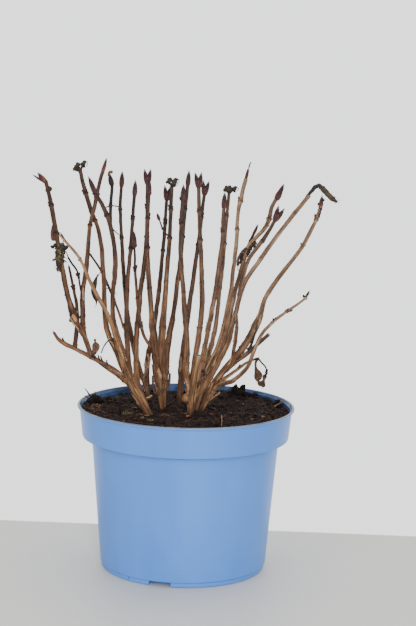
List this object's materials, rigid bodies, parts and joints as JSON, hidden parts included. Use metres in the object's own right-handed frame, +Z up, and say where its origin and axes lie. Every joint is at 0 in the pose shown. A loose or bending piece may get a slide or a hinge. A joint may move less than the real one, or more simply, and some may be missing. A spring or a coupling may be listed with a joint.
{
  "type": "potted hydrangea shrub",
  "caption": "Bare, winter-dormant hydrangea shrub in a round stepped-collar nursery pot, with forked woody stems, pointed buds and a few dried leaf and flower remains.",
  "frame": {"origin": "centre of the pot's flat underside, where the pot stands", "axes": "+Z up, -Y towards the plant's front, +X to its right seen from the front"},
  "size_m": [0.3185, 0.232, 0.4363],
  "materials": {
    "pot_plastic": "satin light-blue moulded plastic",
    "compost": "dark, damp, crumbly potting compost",
    "bark": "dull tan-brown bark that peels in thin strips",
    "twigs": "dull red-brown young wood and purple-brown buds"
  },
  "bodies": {
    "root": {"pot": "pot_plastic", "compost": "compost", "stool_left": "bark", "stool_left_fork": "bark", "stool_rear_left": "bark", "stool_centre_left": "bark", "stool_centre": "bark", "stool_right": "bark", "stool_far_right": "bark", "bough_left_low": "bark", "bough_left_tall": "bark", "bough_left_tan": "bark", "bough_left_forked": "bark", "bough_left_inner": "bark", "bough_left_rear": "bark", "bough_rear_left": "bark", "bough_rear_back": "bark", "bough_mid_front": "bark", "bough_mid_left": "bark", "bough_mid_rear": "bark", "bough_rear": "bark", "bough_front_left": "bark", "bough_middle": "bark", "bough_front_right": "bark", "bough_right_back": "bark", "bough_right_inner": "bark", "bough_right_bundle": "bark", "bough_right_arch": "bark", "bough_right_front": "bark", "bough_right_tall": "bark", "bough_right_low": "bark", "bough_fork_outer": "bark", "bough_fork_inner": "bark", "twigs_left_tall": "twigs", "twigs_left_forked": "twigs", "twigs_left_inner": "twigs", "twigs_left_rear": "twigs", "twigs_rear_left": "twigs", "twigs_rear_back": "twigs", "twigs_mid_front": "twigs", "twigs_mid_left": "twigs", "twigs_mid_rear": "twigs", "twigs_mid_side": "twigs", "twigs_rear": "twigs", "twigs_front_left": "twigs", "twigs_middle": "twigs", "twigs_front_right": "twigs", "twigs_right_back": "twigs", "twigs_right_inner": "twigs", "twigs_right_bundle": "twigs", "twigs_right_arch": "twigs", "twigs_right_front": "twigs", "twigs_right_tall": "twigs", "twigs_right_low": "twigs", "twigs_right_withered": "twigs", "twigs_fork_outer": "twigs", "twigs_fork_inner": "twigs", "twigs_fork_side": "twigs", "twigs_low_side": "twigs", "twigs_crossing": "twigs"}
  },
  "joints": []
}
